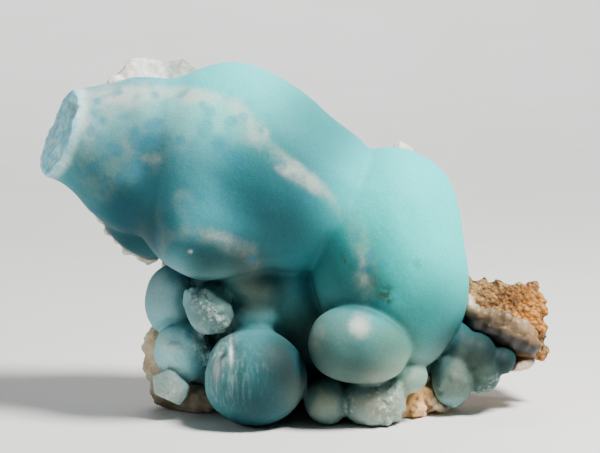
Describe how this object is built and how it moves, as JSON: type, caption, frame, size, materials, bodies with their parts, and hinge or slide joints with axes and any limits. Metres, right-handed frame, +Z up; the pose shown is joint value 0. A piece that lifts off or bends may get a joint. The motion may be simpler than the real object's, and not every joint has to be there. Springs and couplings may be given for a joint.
{
  "type": "blue aragonite mineral specimen",
  "caption": "Cabinet mineral specimen: rounded sky-blue aragonite growths on a white crust and a slab of brown rock, standing upright on its flat foot.",
  "frame": {"origin": "middle of the bounding box's base, on the ground the specimen stands on", "axes": "+X to the viewer's right along the specimen's length, +Y away from the viewer towards the rock, +Z up"},
  "size_m": [0.1234, 0.0564, 0.084],
  "materials": {
    "blue_aragonite": "waxy, matte, translucent",
    "white_aragonite": "matte, translucent",
    "matrix_rock": "rough, earthy"
  },
  "bodies": {
    "root": {"blue_aragonite": "blue_aragonite", "white_aragonite": "white_aragonite", "matrix_rock": "matrix_rock"}
  },
  "joints": []
}
